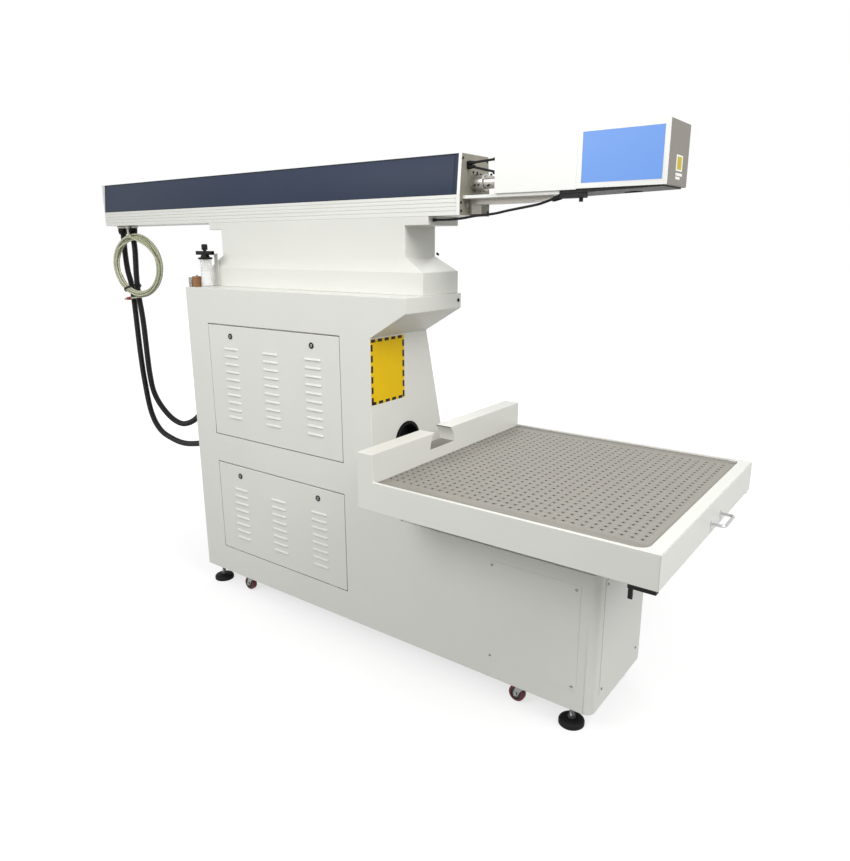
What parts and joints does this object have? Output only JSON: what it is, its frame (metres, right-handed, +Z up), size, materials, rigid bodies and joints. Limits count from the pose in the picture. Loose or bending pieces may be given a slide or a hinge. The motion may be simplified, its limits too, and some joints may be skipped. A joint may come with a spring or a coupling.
{
  "type": "laser marking machine",
  "caption": "Free-standing marking machine: sheet-steel cabinet, long laser housing on a riser, scan head on an arm, perforated work table with a scrap drawer.",
  "frame": {"origin": "on the floor under the middle of the cabinet", "axes": "+X along the machine from its rear to the work table, +Y to the far side, away from the service doors, +Z up"},
  "size_m": [3.006, 0.94, 1.855],
  "materials": {
    "white_paint": "satin powder coat",
    "anodised_profile": "satin anodised extrusion",
    "navy_panel": "satin powder coat",
    "grey_head": "satin grey paint",
    "blue_face": "glossy coloured sheet",
    "black_steel": "satin black",
    "black_plastic": "moulded, matte",
    "zinc_steel": "bright zinc plate",
    "machined_aluminium": "turned",
    "plate_steel": "matte beige coat",
    "tube_glass": "clear borosilicate",
    "bowl_plastic": "clear polycarbonate",
    "mirror_coat": "coated silicon",
    "lens_mount": "grey anodised",
    "chrome_bar": "bright plated",
    "yellow_paint": "satin, bare of any sign",
    "brown_moulding": "brown lacquered metal",
    "red_plastic": "moulded",
    "castor_tread": "cast polyurethane",
    "hose_skin": "extruded polyurethane",
    "grey_case": "textured coat",
    "supply_case": "folded sheet"
  },
  "bodies": {
    "frame": {"cabinet_shell": "white_paint", "front_cover": "white_paint", "access_panel": "white_paint", "cover_screws": "zinc_steel", "riser": "white_paint", "housing_base": "anodised_profile", "side_panels": "navy_panel", "housing_lid": "navy_panel", "end_plates": "white_paint", "laser_tube": "tube_glass", "tube_saddles": "black_plastic", "beam_tube": "machined_aluminium", "support_arm": "white_paint", "focus_box": "white_paint", "fixed_optics": "lens_mount", "scan_head": "grey_head", "face_panel": "blue_face", "galvo_motors": "black_plastic", "head_base_plate": "black_steel", "signal_cable": "black_plastic", "tube_lead": "black_plastic", "table_frame": "white_paint", "perforated_plate": "plate_steel", "drawer_runners": "black_steel", "extraction_blower": "black_plastic", "laser_power_supply": "supply_case", "control_computer": "grey_case", "levelling_feet": "black_steel", "castor_plates": "zinc_steel", "yellow_plate": "yellow_paint", "filter_body": "black_plastic", "filter_bowl": "bowl_plastic", "air_valve": "brown_moulding", "hose_glands": "black_plastic", "power_conduit": "black_plastic", "signal_conduit": "black_plastic", "water_hose": "hose_skin", "water_hose_coil": "hose_skin", "hose_fitting": "red_plastic", "hose_tie": "black_plastic"},
    "upper_door": {"upper_service_door": "white_paint"},
    "lower_door": {"lower_service_door": "white_paint"},
    "upper_rear_lock": {"upper_rear_lock": "black_steel"},
    "upper_front_lock": {"upper_front_lock": "black_steel"},
    "lower_rear_lock": {"lower_rear_lock": "black_steel"},
    "lower_front_lock": {"lower_front_lock": "black_steel"},
    "drawer": {"scrap_drawer": "white_paint", "drawer_handle": "chrome_bar"},
    "carriage": {"focus_carriage": "lens_mount"},
    "x_mirror": {"x_mirror": "mirror_coat"},
    "y_mirror": {"y_mirror": "mirror_coat"},
    "filter_knob": {"filter_knob": "black_plastic"},
    "castor_fork_rear_near": {"castor_fork_rear_near": "zinc_steel"},
    "castor_wheel_rear_near": {"castor_wheel_rear_near": "castor_tread"},
    "castor_fork_rear_far": {"castor_fork_rear_far": "zinc_steel"},
    "castor_wheel_rear_far": {"castor_wheel_rear_far": "castor_tread"},
    "castor_fork_front_near": {"castor_fork_front_near": "zinc_steel"},
    "castor_wheel_front_near": {"castor_wheel_front_near": "castor_tread"},
    "castor_fork_front_far": {"castor_fork_front_far": "zinc_steel"},
    "castor_wheel_front_far": {"castor_wheel_front_far": "castor_tread"}
  },
  "joints": [
    {"name": "upper_door_hinge", "type": "hinge", "parent": "frame", "child": "upper_door", "pos_m": [-0.4505, -0.22, 0.737], "axis": [1, 0, 0], "range_deg": [0, 30]},
    {"name": "lower_door_hinge", "type": "hinge", "parent": "frame", "child": "lower_door", "pos_m": [-0.4505, -0.22, 0.204], "axis": [1, 0, 0], "range_deg": [0, 30]},
    {"name": "upper_rear_lock_turn", "type": "hinge", "parent": "upper_door", "child": "upper_rear_lock", "pos_m": [-0.6845, -0.22, 1.168], "axis": [0, -1, 0], "range_deg": [0, 90]},
    {"name": "upper_front_lock_turn", "type": "hinge", "parent": "upper_door", "child": "upper_front_lock", "pos_m": [-0.2165, -0.22, 1.168], "axis": [0, 1, 0], "range_deg": [0, 90]},
    {"name": "lower_rear_lock_turn", "type": "hinge", "parent": "lower_door", "child": "lower_rear_lock", "pos_m": [-0.6845, -0.22, 0.563], "axis": [0, -1, 0], "range_deg": [0, 90]},
    {"name": "lower_front_lock_turn", "type": "hinge", "parent": "lower_door", "child": "lower_front_lock", "pos_m": [-0.2165, -0.22, 0.563], "axis": [0, 1, 0], "range_deg": [0, 90]},
    {"name": "drawer_slide", "type": "slide", "parent": "frame", "child": "drawer", "axis": [1, 0, 0], "range_m": [0, 0.7]},
    {"name": "focus_travel", "type": "slide", "parent": "frame", "child": "carriage", "axis": [1, 0, 0], "range_m": [-0.012, 0.012]},
    {"name": "x_mirror_scan", "type": "hinge", "parent": "frame", "child": "x_mirror", "pos_m": [0.881, 0, 1.728], "axis": [0, 0, 1], "range_deg": [-12, 12]},
    {"name": "y_mirror_scan", "type": "hinge", "parent": "frame", "child": "y_mirror", "pos_m": [0.881, 0.044, 1.728], "axis": [1, 0, 0], "range_deg": [-12, 12]},
    {"name": "filter_knob_turn", "type": "hinge", "parent": "frame", "child": "filter_knob", "pos_m": [-0.882, -0.165, 1.52], "axis": [0, 0, 1], "range_deg": [0, 180]},
    {"name": "castor_swivel_rear_near", "type": "hinge", "parent": "frame", "child": "castor_fork_rear_near", "pos_m": [-0.696, -0.178, 0.071], "axis": [0, 0, 1], "continuous": true},
    {"name": "castor_spin_rear_near", "type": "hinge", "parent": "castor_fork_rear_near", "child": "castor_wheel_rear_near", "pos_m": [-0.718, -0.178, 0.031], "axis": [0, 1, 0], "continuous": true},
    {"name": "castor_swivel_rear_far", "type": "hinge", "parent": "frame", "child": "castor_fork_rear_far", "pos_m": [-0.696, 0.178, 0.071], "axis": [0, 0, 1], "continuous": true},
    {"name": "castor_spin_rear_far", "type": "hinge", "parent": "castor_fork_rear_far", "child": "castor_wheel_rear_far", "pos_m": [-0.718, 0.178, 0.031], "axis": [0, 1, 0], "continuous": true},
    {"name": "castor_swivel_front_near", "type": "hinge", "parent": "frame", "child": "castor_fork_front_near", "pos_m": [0.696, -0.178, 0.071], "axis": [0, 0, 1], "continuous": true},
    {"name": "castor_spin_front_near", "type": "hinge", "parent": "castor_fork_front_near", "child": "castor_wheel_front_near", "pos_m": [0.674, -0.178, 0.031], "axis": [0, 1, 0], "continuous": true},
    {"name": "castor_swivel_front_far", "type": "hinge", "parent": "frame", "child": "castor_fork_front_far", "pos_m": [0.696, 0.178, 0.071], "axis": [0, 0, 1], "continuous": true},
    {"name": "castor_spin_front_far", "type": "hinge", "parent": "castor_fork_front_far", "child": "castor_wheel_front_far", "pos_m": [0.674, 0.178, 0.031], "axis": [0, 1, 0], "continuous": true}
  ]
}
